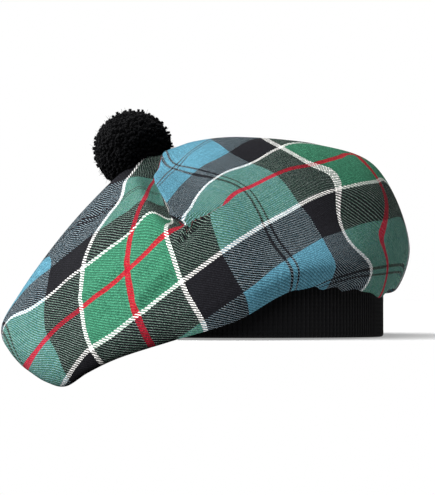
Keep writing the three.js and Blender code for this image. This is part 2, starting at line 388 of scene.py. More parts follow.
def bump(offset, width):
    """A rounded bump: 1 in its middle and close to 0 beyond two widths."""
    return np.exp(-((offset / width) ** 2))


def swell(turn, form):
    """A rounded swelling round the crown: its middle and width in degrees, and its height."""
    middle, width, height = form
    return height * bump(np.degrees(turn) % 360 - middle, width)


def sections_round(places):
    """The sections at any places round the crown: each column runs on a smooth closed curve of its values."""
    first = np.floor(places).astype(int)
    share = (places - first)[:, None]
    rows = []
    for step in (-1, 0, 1, 2):
        index = first + step
        row = SECTIONS[index % len(SECTIONS)]
        row[:, 0] += 360 * (index // len(SECTIONS))
        rows.append(row)
    a, b, c, d = rows
    bend = 2 * a - 5 * b + 4 * c - d
    twist = 3 * b - a - 3 * c + d
    return 0.5 * (2 * b + (c - a) * share + bend * share**2 + twist * share**3)


def band_reach(turn):
    """How far from the seat the band's outer oval is in each direction: the ray's far root on the oval."""
    way = np.stack([np.cos(turn), np.sin(turn)]) / BAND_HALF[:, None]
    seat = SEAT[:2] / BAND_HALF
    a = (way**2).sum(axis=0)
    b = 2 * seat @ way
    c = seat @ seat - 1
    return (-b + np.sqrt(b * b - 4 * a * c)) / (2 * a)


def profile_points(sections, turn):
    """Points of every section's profile, as distance from the seat and height, from the seat over the rim."""
    reach, *heights, rim, hang = sections.T[1:]
    reach = reach + swell(turn, BULGE)
    band = band_reach(turn)
    level = np.ones_like(reach)
    inward = ROLL_SHARE * hang + swell(turn, DRAWN_IN)
    low = np.stack([np.maximum(reach - inward, band + ROLL_CLEAR), rim - hang - swell(turn, LUMP)])
    landing = np.stack([band + LANDING_OUTSIDE, (BAND_HEIGHT + LANDING_RISE) * level])
    under = (low + landing) / 2
    under[1] -= SAG_SHARE * (low[0] - landing[0])
    points = [np.stack([0 * level, SEAT[2] * level])]
    points += [np.stack([share * reach, height]) for share, height in zip(HEIGHT_PLACES, heights)]
    points += [np.stack([reach, rim]), low, under, landing]
    points.append(np.stack([band - LANDING_INSIDE, (BAND_HEIGHT + LANDING_GAP) * level]))
    return np.array(points)


def curve_through(points, spans):
    """A centripetal Catmull-Rom curve through each section's points, level at the seat."""
    mirrored = points[1] * np.array([[-1.0], [1.0]])
    beyond = 2 * points[-1] - points[-2]
    padded = np.concatenate([mirrored[None], points, beyond[None]])
    first = np.minimum(spans.astype(int), len(points) - 2)
    share = (spans - first)[:, None, None]
    a, b, c, d = (padded[first + step] for step in range(4))
    ab, bc, cd = (np.sqrt(np.linalg.norm(q - p, axis=1, keepdims=True)) for p, q in ((a, b), (b, c), (c, d)))
    leave = (c - b) + bc * ((b - a) / ab - (c - a) / (ab + bc))
    arrive = (c - b) + bc * ((d - c) / cd - (d - b) / (bc + cd))
    cubic = 2 * (b - c) + leave + arrive
    square = 3 * (c - b) - 2 * leave - arrive
    return cubic * share**3 + square * share**2 + leave * share + b


def fold_offsets(x, y):
    """How far a place in plan lies on the dome's side of the crease, and of the tuck at its foot."""
    crease = x - CREASE.x - CREASE.curve * (y - CREASE.y) ** 2
    tuck = y - TUCK.y - TUCK.slope * (x - TUCK.x)
    return crease, tuck


def creased(points, weight):
    """The crease: down to a bell-shaped hollow on one side of a curved line, up to a bell-shaped swelling on
    the other, with a lip that leans back over the line and a soft ridge beside the hollow. The tuck: the same
    step, lower, along its own line."""
    x, y, z = np.moveaxis(points, -1, 0)
    offset, above = fold_offsets(x, y)
    weight = weight * (1 - ease(y, *CREASE.back_fade))
    strength = weight * ease(y, *CREASE.front_fade)
    front = strength * (1 - ease(y, *CREASE.seat_fade))
    ridge = strength * (1 - ease(y, *CREASE.ridge_fade))
    dome = ease(offset, -CREASE.step_half, CREASE.step_half)
    drop = CREASE.drop * bump(offset, CREASE.drop_width) * (1 - dome) * front
    swelling = strength * (1 - ease(y, *CREASE.lift_fade))
    leaning = weight * ease(above, *CREASE.lean_front) * (1 - ease(y, *CREASE.lean_fade))
    lift = CREASE.lift * bump(offset, CREASE.lift_width) * dome * swelling
    rise = CREASE.ridge_height * bump(offset - CREASE.ridge_offset, CREASE.ridge_width) * ridge
    lean = CREASE.lean + CREASE.foot_lean * (1 - ease(y, *CREASE.foot_fade))
    lean = lean * bump(offset - CREASE.lean_offset, CREASE.lean_width) * leaning
    over = ease(above, -TUCK.step_half, TUCK.step_half)
    step = (TUCK.lift * over - TUCK.drop * (1 - over)) * bump(above, TUCK.width)
    step = step * np.interp(x, *TUCK_STRENGTH) * weight
    return np.stack([x - lean, y, z - drop + lift + rise + step], axis=-1), lean


def soft_folds(x, y, span):
    """How far the soft folds lift the upper cloth: rounded ridges along straight lines in plan, faded out at
    both ends and towards the under side."""
    lift = 0
    for start, end, height, width in SOFT_FOLDS:
        run = np.subtract(end, start)
        length = np.linalg.norm(run)
        along = ((x - start[0]) * run[0] + (y - start[1]) * run[1]) / length**2
        aside = ((y - start[1]) * run[0] - (x - start[0]) * run[1]) / length
        ends = ease(along, *SOFT_FOLD_START) * (1 - ease(along, *SOFT_FOLD_END))
        lift = lift + height * bump(aside, width) * ends
    return lift * (1 - ease(span, RIM_SPAN, UPPER_END))


def dome_side(plan, foot=0.0):
    """How far places in plan lie on the dome's side of the crease and of the tuck, each by the width over
    which the pattern changes there. At the crease's foot the dome's cloth reaches further, by as much as foot
    says."""
    offset, above = fold_offsets(plan.real, plan.imag)
    aside, *aside_range = SPREAD_ASIDE
    behind, *behind_range = SPREAD_BEHIND
    width = FOLD_SHARP + aside * ease(plan.real, *aside_range)
    width = width + behind * ease(plan.imag, *behind_range)
    edge = FOLD_EDGE - foot * (1 - ease(above, *FOOT_RANGE))
    return (offset - edge) / width, above / width


def crown_points():
    """The crown's outer face on a grid of rings and columns: section curves turned about the seat, rippled by
    the gathers and puckers under the rim, then dented by the crease and the soft folds on top. Also the face
    before it is dented, the rings' spans, and how far the crease's lip leans."""
    places = np.arange(CROWN_COLUMNS) * len(SECTIONS) / CROWN_COLUMNS
    sections = sections_round(places)
    turn = np.radians(sections[:, 0])
    profile = profile_points(sections, turn)
    rings = np.linspace(0, 1, CROWN_RINGS)
    spans = np.interp(rings, (0, UPPER_RINGS, 1), (0, UPPER_END, len(profile) - 1))
    distance, height = np.moveaxis(curve_through(profile, spans), 1, 0)
    span = spans[:, None]
    drift = sum(far * np.sin(often * turn) for far, often in GATHER_DRIFTS)
    ripple = np.cos(GATHERS * turn + drift)
    height = height + GATHER_HEIGHT * ease(span, *GATHER_SPANS) * ripple
    edge = ease(span, *PUCKER_START) * (1 - ease(span, *PUCKER_END))
    pucker = swell(turn, PUCKERS) * edge * np.sin(2 * np.pi * np.degrees(turn) / PUCKER_TURN)
    distance = distance + pucker
    height = height + PUCKER_RISE * pucker
    x = SEAT[0] + distance * np.cos(turn)
    y = SEAT[1] + distance * np.sin(turn)
    points = np.stack([x, y, height], axis=-1)
    folded, lean = creased(points, 1 - ease(span, *CREASE_SPANS))
    folded = folded + grid_normals(folded) * soft_folds(x, y, span)[..., None]
    return folded, points, spans, lean


def grid_normals(points):
    """Outward directions on a grid that closes on itself round its columns."""
    along = np.gradient(points, axis=0)
    around = np.roll(points, -1, axis=1) - np.roll(points, 1, axis=1)
    return unit(np.cross(along, around))


def image_places(points):
    """Where points fall in the image, in pixels across and down, and how far from the camera they are."""
    away = points - CAMERA_PLACE
    ahead = away @ np.array([0, math.cos(CAMERA_TILT), math.sin(CAMERA_TILT)])
    above = away @ np.array([0, -math.sin(CAMERA_TILT), math.cos(CAMERA_TILT)])
    across = IMAGE_WIDTH / 2 + FOCAL_PIXELS * away[..., 0] / ahead
    down = IMAGE_HEIGHT / 2 - FOCAL_PIXELS * above / ahead
    return np.stack([across, down], axis=-1), ahead


def seen_from_front(points, spans):
    """Which points of the upper cloth the camera sees: they face it, and nothing much nearer falls in their
    cell of pixels."""
    cell = 5
    slack = 14
    pixels, ahead = image_places(points)
    facing = (grid_normals(points) * (CAMERA_PLACE - points)).sum(axis=-1) > 0
    facing &= (spans < SEEN_END)[:, None]
    column, row = np.moveaxis(np.round(pixels / cell).astype(int), -1, 0)
    nearest = np.full((IMAGE_HEIGHT // cell + 2, IMAGE_WIDTH // cell + 2), np.inf)
    np.minimum.at(nearest, (row[facing], column[facing]), ahead[facing])
    seen = facing.copy()
    seen[facing] = ahead[facing] < nearest[row[facing], column[facing]] + slack
    return seen


def laid_flat(points, spans):
    """The cloth laid flat about the seat: radius is the length along a column, and the angle adds up how far
    apart neighbouring columns are for their radius, over the upper cloth."""
    step = np.linalg.norm(np.diff(points, axis=0), axis=-1)
    radius = np.concatenate([np.zeros((1, points.shape[1])), np.cumsum(step, axis=0)])
    apart = np.linalg.norm(np.roll(points, -1, axis=1) - points, axis=-1)
    between = (radius + np.roll(radius, -1, axis=1)) / 2
    upper = (spans > FLAT_SPANS[0]) & (spans < FLAT_SPANS[1])
    opening = (apart[upper] / between[upper]).mean(axis=0)
    angle = (np.cumsum(opening) - opening) * 2 * np.pi / opening.sum()
    return radius * np.exp(-1j * angle)


def lines_on_cloth(lines, points, spans, *fields):
    """The threads that lines of the tartan run along, and what fields over the cloth are at their points:
    near each point a field is fitted to the seen cloth as an even slope of the pixels, on the front side of a
    fold."""
    seen = seen_from_front(points, spans)
    pixels, ahead = image_places(points)
    pixels, ahead, cloth = pixels[seen], ahead[seen], points[seen]
    values = np.stack([field[seen] for field in fields], axis=-1)
    widths = [width for _, width in SETT]
    neighbours = 12
    closest = 4
    same_side = 12.0
    threads = []
    found = []
    for stripe, share, places in lines:
        repeats, number = divmod(stripe, len(SETT))
        start = SETT_THREADS * repeats + sum(widths[:number]) - WHITE_THREADS / 2
        for place in places:
            offset = pixels - place
            distance = np.linalg.norm(offset, axis=1)
            near = np.argsort(distance)[:neighbours]
            front = near[np.argmin(ahead[near[:closest]])]
            weight = np.exp(-((distance[near] / distance[near].max()) ** 2))
            weight = (weight * (np.linalg.norm(cloth[near] - cloth[front], axis=1) < same_side))[:, None]
            slope = np.column_stack([offset[near], np.ones(neighbours)]) * weight
            found.append(np.linalg.lstsq(slope, values[near] * weight, rcond=None)[0][2])
            threads.append(start + share * widths[number])
    return np.array(threads), *np.array(found).T


def bent_through(places, values, cloth):
    """Values at places of the flat cloth, carried over all of it as a thin plate bends: an even slope, and
    about each place some share of distance squared times its logarithm."""
    def bend(apart):
        square = np.maximum(np.abs(apart / SETT_THREADS) ** 2, 1e-12)
        return square * np.log(square)

    def plane(at):
        return np.stack([np.ones(at.shape), at.real, at.imag], axis=-1)

    count = len(places)
    system = np.zeros((count + 3, count + 3))
    system[:count, :count] = bend(places[:, None] - places) + STIFFNESS * np.eye(count)
    system[:count, count:] = plane(places)
    system[count:, :count] = plane(places).T
    shares = np.linalg.solve(system, np.concatenate([values, np.zeros(3)]))
    return bend(cloth[..., None] - places) @ shares[:count] + plane(cloth) @ shares[count:]


def thread_counts(points, smooth, spans, lean):
    """Threads along warp and weft at every point, for the flop's cloth and for the dome's: the flat cloth
    turned, scaled and moved to lie best on the lines of the tartan, then bent through them. The dome's cloth
    is moved on by what the folds hide, and on the unseen back the two go over into each other. The lip's lean
    over the crease draws the dome's cloth out by as much."""
    flat = laid_flat(smooth, spans)
    drawn = flat - lean
    plan = smooth[..., 0] + 1j * smooth[..., 1]
    lines = [lines_on_cloth(rows, points, spans, flat, drawn, plan) for rows in (WARP_LINES, WEFT_LINES)]
    dome = [np.minimum(*dome_side(places)) > 0 for *_, places in lines]
    slope = []
    for axis, (threads, flop_at, dome_at, _) in enumerate(lines):
        at = np.where(dome[axis], dome_at, flop_at)
        one = np.ones(len(threads))
        turned = (at.real, -at.imag) if axis == 0 else (at.imag, at.real)
        moved = [one * (axis == 0), one * (axis == 1), dome[axis] * (axis == 0), dome[axis] * (axis == 1)]
        slope.append(np.column_stack([*turned, *moved]))
    wanted = np.concatenate([threads for threads, *_ in lines])
    cosine, sine, *moves = np.linalg.lstsq(np.concatenate(slope), wanted, rcond=None)[0]
    turn = cosine + 1j * sine
    move = moves[0] + 1j * moves[1]
    hidden = moves[2] + 1j * moves[3]
    columns = np.array(BACK_SECTIONS) * CROWN_COLUMNS // len(SECTIONS)
    rings = np.searchsorted(spans, BACK_SPANS)
    back = turn * flat[np.ix_(rings, columns)].ravel() + move
    way = (plan[np.ix_(rings, columns)] - plan[0, 0]).ravel()
    back_threads = back + hidden * (1 + way.real / np.abs(way)) / 2
    counts = np.empty((2, *flat.shape, 2))
    for axis, (threads, flop_at, dome_at, places) in enumerate(lines):
        held = back_threads.real if axis == 0 else back_threads.imag
        on_dome = dome[axis] | (places.real > TUCK_END) & (np.minimum(*dome_side(places)) > -1)
        on_flop = ~dome[axis] | (places.real > TUCK_END)
        sides = ((on_flop, flop_at, flat), (on_dome, dome_at, drawn))
        for side, (chosen, at, cloth) in enumerate(sides):
            pins = np.concatenate([turn * at[chosen] + move, back])
            values = np.concatenate([threads[chosen], held])
            counts[side, ..., axis] = bent_through(pins, values, turn * cloth + move)
    return counts


def oval_places(count):
    """Evenly spaced places round the band's oval, as cosines and sines of the oval's own angle."""
    fine = np.linspace(0, 2 * np.pi, OVAL_STEPS + 1)
    speed = np.hypot(BAND_HALF[0] * np.sin(fine), BAND_HALF[1] * np.cos(fine))
    length = np.concatenate([[0], np.cumsum((speed[1:] + speed[:-1]) / 2 * np.diff(fine))])
    angle = np.interp(np.arange(count) / count * length[-1], length, fine)
    return np.stack([np.cos(angle), np.sin(angle)], axis=-1)


def headband_points():
    """The headband on a grid of profile steps and columns: a flat loop of knit with rounded edges, carried
    round the oval, its outside swelling from rib to rib as half circles do."""
    columns = BAND_RIBS * COLUMNS_PER_RIB
    circle = oval_places(columns)
    outward = unit(circle / BAND_HALF)
    half = BAND_WALL / 2
    bend = np.linspace(-np.pi / 2, np.pi / 2, BAND_EDGE_STEPS)
    side = np.linspace(half, BAND_HEIGHT - half, BAND_SIDE_STEPS + 2)[1:-1]
    flat = np.full(BAND_SIDE_STEPS, half)
    ring_depth = np.concatenate([half * np.sin(-bend), -flat, half * np.sin(bend), flat])
    ring_height = np.concatenate([
        half - half * np.cos(bend), side, BAND_HEIGHT - half + half * np.cos(bend), side[::-1],
    ])
    rib = (np.arange(columns) % COLUMNS_PER_RIB) / COLUMNS_PER_RIB * 2 - 1
    groove = BAND_RIB_DEPTH * (1 - np.sqrt(1 - rib**2 * BAND_RIB_ROUND))
    outside = ease(ring_depth, -half, half)
    sway = BAND_SWAY * np.sin(np.arange(columns) / columns * 2 * np.pi * BAND_SWAYS)
    inset = half - ring_depth[:, None] + groove * outside[:, None] - sway
    x = circle[:, 0] * BAND_HALF[0] - outward[:, 0] * inset
    y = circle[:, 1] * BAND_HALF[1] - outward[:, 1] * inset
    z = np.broadcast_to(ring_height[:, None], x.shape)
    return np.stack([x, y, z], axis=-1)


def spread_directions(count):
    """Directions spread evenly over a ball, each a golden turn on from the last, then shaken a little."""
    index = np.arange(count)
    height = 1 - (2 * index + 1) / count
    radius = np.sqrt(1 - height**2)
    turn = np.pi * (3 - math.sqrt(5)) * index
    way = np.stack([radius * np.cos(turn), radius * np.sin(turn), height], axis=-1)
    way += rng.normal(0, YARN_SHAKE, way.shape)
    return unit(way)


def tubes(paths, radii, sides):
    """Round tubes along paths: each path point gets a circle square to the path, and the last one a cap.
    Returns the corners and faces of all the tubes together."""
    count, steps, _ = paths.shape
    ahead = unit(np.gradient(paths, axis=1))
    steep = np.abs(ahead[..., 2:]) > 0.9
    helper = np.where(steep, [[[1.0, 0, 0]]], [[[0, 0, 1.0]]])
    first = unit(np.cross(ahead, helper))
    second = np.cross(ahead, first)
    angle = 2 * np.pi * np.arange(sides) / sides
    circle = first[:, :, None] * np.cos(angle)[:, None] + second[:, :, None] * np.sin(angle)[:, None]
    corners = paths[:, :, None] + circle * radii[:, :, None, None]
    number = np.arange(count * steps * sides).reshape(count, steps, sides)
    beside = np.roll(number, -1, axis=2)
    walls = np.stack([number[:, :-1], beside[:, :-1], beside[:, 1:], number[:, 1:]], axis=-1)
    caps = number[:, -1]
    return corners.reshape(-1, 3), walls.reshape(-1, 4), caps.reshape(-1, sides)


def pompom_paths(centre):
    """Yarn ends from the tied middle outwards: straight spokes with a slight bend, cut to an uneven ball and
    cut short where the ball is pressed on the crown."""
    way = spread_directions(YARN_ENDS)
    tip = POMPOM_RADIUS - YARN_UNEVENNESS * rng.random(YARN_ENDS) ** 2
    down = np.maximum(way @ unit(SEAT - centre), 1e-3)
    tip = np.minimum(tip, (POMPOM_SEAT_DEPTH - YARN_RADIUS) / down)
    share = np.linspace(0, 1, YARN_STEPS)[:, None]
    length = YARN_START + (tip[:, None, None] - YARN_START) * share
    bend = rng.normal(0, YARN_BEND, (YARN_ENDS, 1, 3)) * share**2
    paths = centre + way[:, None] * length + bend
    start, gain = YARN_FLARE
    radii = YARN_RADIUS * (start + gain * share[:, 0]) * rng.uniform(*YARN_THICKNESS, (YARN_ENDS, 1))
    return paths, radii, way, tip


def fibre_paths(centre, way, tip):
    """Loose fibres: short hairs that leave the cut ends a little to the side."""
    pick = rng.integers(0, len(way), FIBRES)
    share = np.linspace(0, 1, FIBRE_STEPS)[:, None]
    start = centre + way[pick] * (tip[pick] - FIBRE_DEPTH)[:, None]
    start = start + rng.normal(0, FIBRE_SCATTER, (FIBRES, 3))
    lean = way[pick] + rng.normal(0, FIBRE_LEAN, (FIBRES, 3))
    length = FIBRE_SHORTEST + FIBRE_REACH * rng.random((FIBRES, 1, 1))
    paths = start[:, None] + lean[:, None] * length * share
    radii = FIBRE_RADIUS * (1 - FIBRE_TAPER * share[:, 0]) * np.ones((FIBRES, 1))
    return paths, radii


def linear(code):
    """An sRGB hex colour as linear red, green, blue and alpha."""
    channels = [int(code[i:i + 2], 16) / 255 for i in (1, 3, 5)]
    return (*[c / 12.92 if c <= 0.04045 else ((c + 0.055) / 1.055) ** 2.4 for c in channels], 1)


def add_object(name, data):
    """An object of some data, put into the scene."""
    thing = bpy.data.objects.new(name, data)
    bpy.context.scene.collection.objects.link(thing)
    return thing


def mesh_piece(name, corners, faces, material, node):
    """A piece from its corners in mm and its faces, which stands for a node of the part."""
    mesh = bpy.data.meshes.new(name)
    mesh.from_pydata((corners * MM).tolist(), [], faces)
    mesh.polygons.foreach_set("use_smooth", np.ones(len(mesh.polygons), bool))
    mesh.materials.append(material)
    mesh.update()
    piece = add_object(name, mesh)
    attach(piece, "root")
    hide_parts(node)
    return piece


def write_uv(piece, name, values):
    """A UV map from one pair of values for each corner of the mesh."""
    corner = np.empty(len(piece.data.loops), int)
    piece.data.loops.foreach_get("vertex_index", corner)
    layer = piece.data.uv_layers.new(name=name)
    layer.data.foreach_set("uv", values[corner].ravel().astype(np.float32))


def grid_faces(rings, columns, start, closed):
    """Quads of a grid whose columns close on themselves, and whose rings do where closed is true."""
    number = start + np.arange(rings * columns).reshape(rings, columns)
    if closed:
        number = np.concatenate([number, number[:1]])
    beside = np.roll(number, -1, axis=1)
    return np.stack([number[:-1], number[1:], beside[1:], beside[:-1]], axis=-1).reshape(-1, 4)


def add_node(tree, kind, links=None, **settings):
    """Adds a node, sets its settings, and gives its inputs values, nodes' first outputs or other outputs."""
    node = tree.nodes.new(kind)
    for name, value in settings.items():
        setattr(node, name, value)
    for socket, source in (links or {}).items():
        if isinstance(source, bpy.types.Node):
            source = source.outputs[0]
        if isinstance(source, bpy.types.NodeSocket):
            tree.links.new(source, node.inputs[socket])
        else:
            node.inputs[socket].default_value = source
    return node


def maths(tree, operation, *terms):
    """Adds a step of maths on its terms, which are values, nodes or outputs."""
    return add_node(tree, "ShaderNodeMath", dict(enumerate(terms)), operation=operation)


def product(tree, result, *others):
    """Adds the steps that multiply its terms together."""
    for other in others:
        result = maths(tree, "MULTIPLY", result, other)
    return result


def remap(tree, value, source=(0.0, 1.0), result=(0.0, 1.0), **settings):
    """Adds a node that carries a value from the source range over to the result range, and no further."""
    names = ("From Min", "From Max", "To Min", "To Max")
    ends = dict(zip(names, (*source, *result)))
    return add_node(tree, "ShaderNodeMapRange", {"Value": value, **ends}, **settings)


def blend(tree, kind, share, first, second, **settings):
    """Adds a mix of two inputs of one kind, and gives its output."""
    start, end, result = MIX_SOCKETS[kind]
    node = add_node(tree, "ShaderNodeMix", {0: share, start: first, end: second}, data_type=kind, **settings)
    return node.outputs[result]


def light_of(tree, colour):
    """Adds a node that tells how light a colour is."""
    return add_node(tree, "ShaderNodeRGBToBW", {0: colour})


def two_colours(tree, share, first, second):
    """Adds a ramp from one hex colour to another."""
    ramp = add_node(tree, "ShaderNodeValToRGB", {0: share})
    for stop, code in zip(ramp.color_ramp.elements, (first, second)):
        stop.color = linear(code)
    return ramp


def new_material(name):
    """An empty material and its node tree."""
    material = bpy.data.materials.new(name)
    material.use_nodes = True
    material.node_tree.nodes.clear()
    return material, material.node_tree


def add_surface(tree, inputs):
    """Adds the surface's shader, and leads it to the material's output."""
    shader = add_node(tree, "ShaderNodeBsdfPrincipled", inputs)
    add_node(tree, "ShaderNodeOutputMaterial", {0: shader})


def thread_places(tree):
    """Threads along warp and weft: the flop's cloth goes over into the dome's where it is past both the
    crease and the tuck. Threads wander by a part of their width, as handled cloth's do."""
    maps = ("flop_threads", "dome_threads", "folds")
    flop, dome, folds = (add_node(tree, "ShaderNodeUVMap", uv_map=name) for name in maps)
    sides = add_node(tree, "ShaderNodeSeparateXYZ", {0: folds}).outputs
    past = remap(tree, maths(tree, "MINIMUM", sides[0], sides[1]), (-1.0, 1.0))
    threads = blend(tree, "VECTOR", past, flop, dome)
    wander = add_node(
        tree, "ShaderNodeTexNoise", {"Vector": threads, "Scale": WEAVE.wander_scale, "Detail": 1.0},
        noise_dimensions="2D",
    )
    shift = add_node(
        tree, "ShaderNodeVectorMath", {0: wander.outputs["Color"], 1: (0.5, 0.5, 0.5)}, operation="SUBTRACT",
    )
    moved = add_node(
        tree, "ShaderNodeVectorMath", {0: shift, 1: (WEAVE.wander, WEAVE.wander, 0), 2: threads},
        operation="MULTIPLY_ADD",
    )
    return add_node(tree, "ShaderNodeSeparateXYZ", {0: moved}).outputs


def sett_threads(tree, place, seed):
    """One way of the weave: each thread's number, how far across it a place is, and its colour from the sett,
    dyed a little unevenly."""
    counted = maths(tree, "ADD", place, WHITE_THREADS / 2)
    number = maths(tree, "FLOOR", counted)
    within = maths(tree, "FRACT", counted)
    repeat = maths(tree, "FLOORED_MODULO", maths(tree, "ADD", number, 0.5), SETT_THREADS)
    ramp = add_node(tree, "ShaderNodeValToRGB", {0: maths(tree, "DIVIDE", repeat, SETT_THREADS)})
    ramp.color_ramp.interpolation = "CONSTANT"
    stops = ramp.color_ramp.elements
    start = 0
    for index, (wool, width) in enumerate(SETT):
        stop = stops[index] if index < 2 else stops.new(1)
        stop.position = start / SETT_THREADS
        stop.color = linear(WOOL_COLOURS[wool])
        start += width
    own = maths(tree, "ADD", number, seed)
    dye = add_node(tree, "ShaderNodeTexWhiteNoise", {"W": own}, noise_dimensions="1D")
    shade = remap(tree, dye, result=WEAVE.dye)
    return number, within, blend(tree, "RGBA", 1.0, ramp, shade, blend_type="MULTIPLY")


def twill_floats(tree, numbers, withins):
    """Whether the warp is up, and how high the upper thread is: an arch along its float over two threads, and
    another across it."""
    step = maths(tree, "FLOORED_MODULO", maths(tree, "SUBTRACT", *numbers), 4)
    warp_up = maths(tree, "LESS_THAN", step, 1.5)
    warp_along = maths(tree, "ADD", maths(tree, "SUBTRACT", 1.0, step), withins[1])
    weft_along = maths(tree, "ADD", maths(tree, "SUBTRACT", step, 2.0), withins[0])
    along = blend(tree, "FLOAT", warp_up, weft_along, warp_along)
    across = blend(tree, "FLOAT", warp_up, withins[1], withins[0])
    arch = maths(tree, "SINE", product(tree, along, math.pi / 2))
    cross_arch = maths(tree, "SINE", product(tree, across, math.pi))
    return warp_up, maths(tree, "POWER", product(tree, arch, cross_arch), WEAVE.arch_power)


def is_line(tree, colour):
    """1 where a colour is the red or the white of the lines, which have more red in them than the others."""
    red = add_node(tree, "ShaderNodeSeparateColor", {0: colour}).outputs[0]
    return maths(tree, "GREATER_THAN", red, WEAVE.line_red)


def line_cover(tree, upper, lower, height):
    """How much the line yarns cover of a plain thread over them: they are thicker, so they cover its edges,
    and red ones nearly all of it."""
    plain = maths(tree, "SUBTRACT", 1.0, is_line(tree, upper))
    green = add_node(tree, "ShaderNodeSeparateColor", {0: lower}).outputs[1]
    red = maths(tree, "LESS_THAN", green, WEAVE.red_green)
    rim = remap(tree, height, WEAVE.line_rim, interpolation_type="SMOOTHSTEP")
    cover = maths(tree, "MAXIMUM", product(tree, red, WEAVE.red_cover), rim)
    return product(tree, cover, is_line(tree, lower), plain)


def dark_cover_shade(tree, upper, lower, height):
    """How much the colour of a darker thread covers of a lighter one over it, white apart: its edges, most if
    it is black. This is partly the crossing thread showing at the edges and partly painted shade between the
    threads. Also tells where they are black."""
    depth = light_of(tree, lower)
    bright = light_of(tree, upper)
    coloured = maths(tree, "LESS_THAN", bright, WEAVE.white)
    black = product(tree, maths(tree, "LESS_THAN", depth, WEAVE.black), coloured)
    darker = maths(tree, "LESS_THAN", depth, product(tree, bright, WEAVE.darker))
    cover = remap(tree, black, result=WEAVE.dark_cover_shade)
    edge = remap(tree, height, WEAVE.dark_edge, interpolation_type="SMOOTHSTEP")
    return product(tree, cover, darker, coloured, edge), black


def crest_highlight(tree, upper, lower, black, height, speck):
    """How much a painted highlight pales the colour on the crest of each float, where light catches its
    hairs: most where two colours cross.
    """
    differ = add_node(tree, "ShaderNodeVectorMath", {0: upper, 1: lower}, operation="DISTANCE")
    pale = remap(tree, differ.outputs["Value"], WEAVE.pale_difference, WEAVE.pale_share)
    most = remap(tree, black, result=WEAVE.highlight_most)
    hairs = remap(tree, speck, result=(WEAVE.highlight_least, most))
    return remap(tree, height, (WEAVE.crest_start, 1.0), (0.0, product(tree, pale, hairs)))


def twill_shade(tree, places, warp, height, speck, line):
    """Painted light and shade multiplied into the colour, in one colour too: the twill's slanting ribs stand
    up in the light and shade each other, warp floats being the crests, or weft floats where they cross black
    warp, and the hollows at the floats' edges are shaded. Lines have no ribs. Also an uneven tone at random
    from crossing to crossing."""
    black_warp = maths(tree, "LESS_THAN", light_of(tree, warp), WEAVE.black)
    flip = remap(tree, black_warp, result=(1.0, -1.0))
    slant = product(tree, maths(tree, "SUBTRACT", places[0], places[1]), math.pi / 2)
    wave = product(tree, maths(tree, "SINE", slant), flip)
    rib = remap(tree, wave, (-1.0, 1.0), WEAVE.rib_shade)
    hollow = remap(tree, height, result=WEAVE.hollow_shade)
    uneven = remap(tree, speck, result=WEAVE.speck_shade)
    return product(tree, hollow, uneven, blend(tree, "FLOAT", line, rib, 1.0))


def worsted_tartan():
    """Worsted wool tartan, woven in a two-and-two twill: each thread passes over two and under two, one step
    on from its neighbour, which gives fine slanting lines where two colours cross and a matt, slightly hairy
    face. Light and shade are painted into its colour: highlights on the floats' crests, shade along the ribs,
    in the hollows and at lighter floats' edges."""
    material, tree = new_material("worsted_tartan_twill")
    places = thread_places(tree)
    ways = [sett_threads(tree, place, seed) for place, seed in zip(places, DYE_SEEDS)]
    numbers, withins, (warp, weft) = zip(*ways)
    warp_up, height = twill_floats(tree, numbers, withins)
    upper = blend(tree, "RGBA", warp_up, weft, warp)
    lower = blend(tree, "RGBA", warp_up, warp, weft)
    # Partly the crossing thread showing at a lighter float's edges, partly painted shade there.
    dark_shade, black = dark_cover_shade(tree, upper, lower, height)
    covered = maths(tree, "MAXIMUM", dark_shade, line_cover(tree, upper, lower, height))
    mixed = blend(tree, "RGBA", covered, upper, lower)
    line = is_line(tree, mixed)
    cell = add_node(tree, "ShaderNodeCombineXYZ", dict(enumerate(numbers)))
    speck = add_node(tree, "ShaderNodeTexWhiteNoise", {"Vector": cell}, noise_dimensions="2D")
    # Painted highlight: each float's crest is paled towards a grey of its own lightness, nearly twice as
    # light where it crosses black.
    hairs = blend(tree, "FLOAT", line, crest_highlight(tree, upper, lower, black, height, speck), 0.0)
    grey = product(tree, light_of(tree, mixed), remap(tree, black, result=WEAVE.highlight_gain))
    paled = blend(tree, "RGBA", hairs, mixed, grey)
    # Painted light and shade of the ribs and hollows, multiplied into the colour below.
    shade = twill_shade(tree, places, warp, height, speck, line)
    relief = add_node(tree, "ShaderNodeBump", {"Strength": 0.5, "Distance": 0.35 * MM, "Height": height})
    add_surface(tree, {
        "Base Color": blend(tree, "RGBA", 1.0, paled, shade, blend_type="MULTIPLY"),
        "Normal": relief,
        "Roughness": 0.92,
        "IOR": 1.45,
        "Specular IOR Level": 0.06,
        "Sheen Weight": 0.02,
        "Sheen Roughness": 0.5,
    })
    return material


def ribbed_wool_knit():
    """Black wool knitted in a narrow rib: each rib is a column of V stitches, matt with a faint sheen. Its
    black is painted a little lighter on the stitch legs' crests and darker between them, as highlight and
    shade. UV counts ribs across and stitches along."""
    material, tree = new_material("black_ribbed_wool_knit")
    stitches = add_node(tree, "ShaderNodeUVMap", uv_map="stitches")
    places = add_node(tree, "ShaderNodeSeparateXYZ", {0: stitches}).outputs
    aside = maths(tree, "ABSOLUTE", maths(tree, "SUBTRACT", maths(tree, "FRACT", places[0]), 0.5))
    slant = maths(tree, "SUBTRACT", places[1], aside)
    leg = maths(tree, "SINE", product(tree, slant, 2 * math.pi))
    height = remap(tree, leg, (-1.0, 1.0))
    add_surface(tree, {
        # Painted highlight on the stitch legs' crests, painted shade between them.
        "Base Color": two_colours(tree, height, "#060607", "#0b0b0e"),
        "Normal": add_node(tree, "ShaderNodeBump", {"Strength": 0.3, "Distance": 0.2 * MM, "Height": height}),
        "Roughness": 0.95,
        "Specular IOR Level": 0.15,
        "Sheen Weight": 0.04,
    })
    return material


